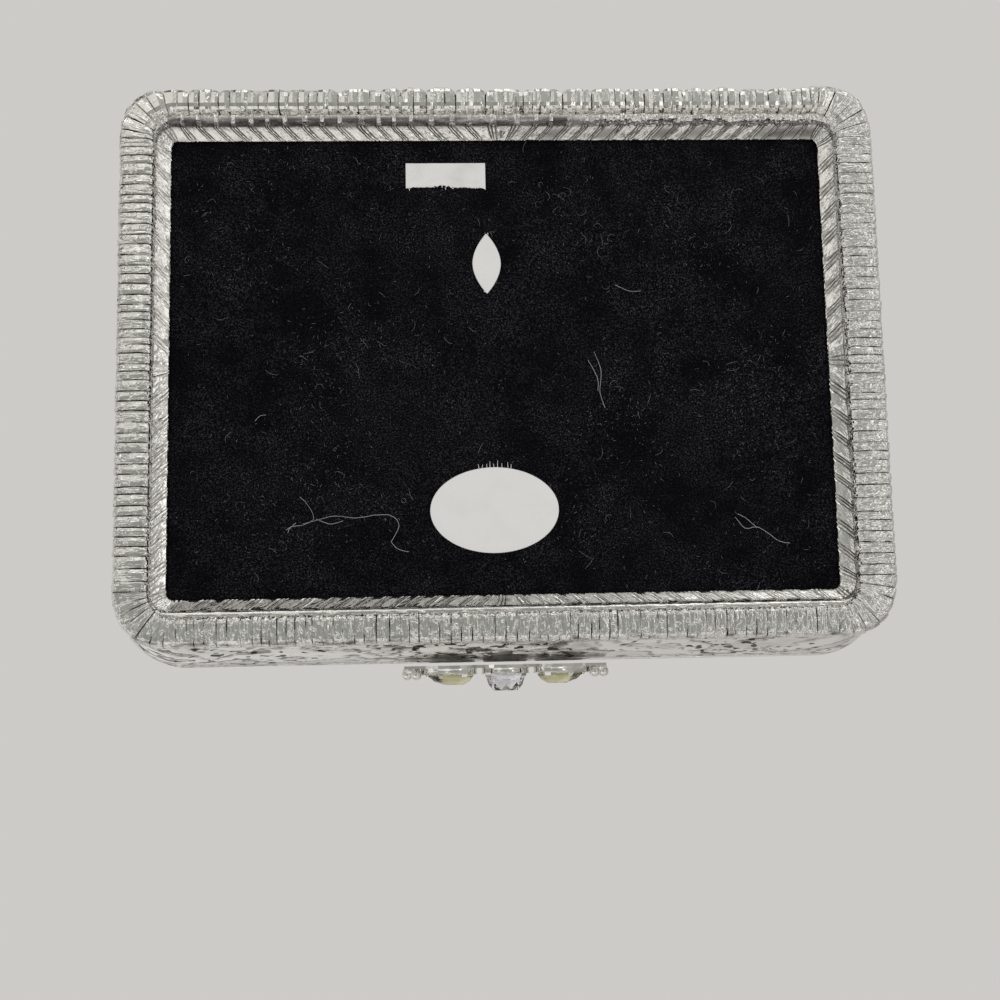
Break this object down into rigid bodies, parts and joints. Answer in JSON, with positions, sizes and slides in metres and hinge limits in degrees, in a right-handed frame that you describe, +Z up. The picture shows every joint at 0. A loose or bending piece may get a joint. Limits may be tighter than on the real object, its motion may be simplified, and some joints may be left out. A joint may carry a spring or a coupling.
{
  "type": "trinket box",
  "caption": "Low hinged trinket box of silver-coloured metal with a gadrooned foot, velvet linings and a rhinestone thumb lift on the lid's front.",
  "frame": {"origin": "middle of the overall footprint, ornament and hinges included, on the surface that the foot stands on", "axes": "+X along the box's length, to the right seen from the front; +Y towards the hinges at the back; +Z up"},
  "size_m": [0.0944, 0.077, 0.0277],
  "materials": {
    "bright_silver": "polished silver plate",
    "hammered_silver": "polished silver plate over a hammered, bark-like surface",
    "steel_pin": "drawn wire",
    "black_velvet": "short-pile black velvet",
    "grey_card": "plain grey board",
    "label_paper": "smooth off-white label paper",
    "clear_crystal": "faceted clear rhinestone",
    "champagne_crystal": "faceted champagne-yellow rhinestone"
  },
  "bodies": {
    "base": {"foot_moulding": "bright_silver", "ribbon_band": "bright_silver", "pad_board": "grey_card", "pad_velvet": "black_velvet", "oval_label": "label_paper", "pointed_label": "label_paper", "torn_label": "label_paper", "body_shell": "hammered_silver", "tray_wall_lining": "black_velvet", "tray_floor_pad": "black_velvet", "left_hinge_body_leaf": "bright_silver", "left_hinge_pin": "steel_pin", "right_hinge_body_leaf": "bright_silver", "right_hinge_pin": "steel_pin"},
    "lid": {"lid_shell": "hammered_silver", "lid_border": "bright_silver", "lid_wall_lining": "black_velvet", "lid_pad": "black_velvet", "left_hinge_lid_leaf": "bright_silver", "right_hinge_lid_leaf": "bright_silver", "ornament_plate": "bright_silver", "centre_setting": "bright_silver", "centre_stone": "clear_crystal", "left_setting": "bright_silver", "left_stone": "champagne_crystal", "left_beads": "bright_silver", "right_setting": "bright_silver", "right_stone": "champagne_crystal", "right_beads": "bright_silver"}
  },
  "joints": [
    {"name": "lid_hinge", "type": "hinge", "parent": "base", "child": "lid", "pos_m": [0, 0.03732, 0.01265], "axis": [-1, 0, 0], "range_deg": [0, 100]}
  ]
}
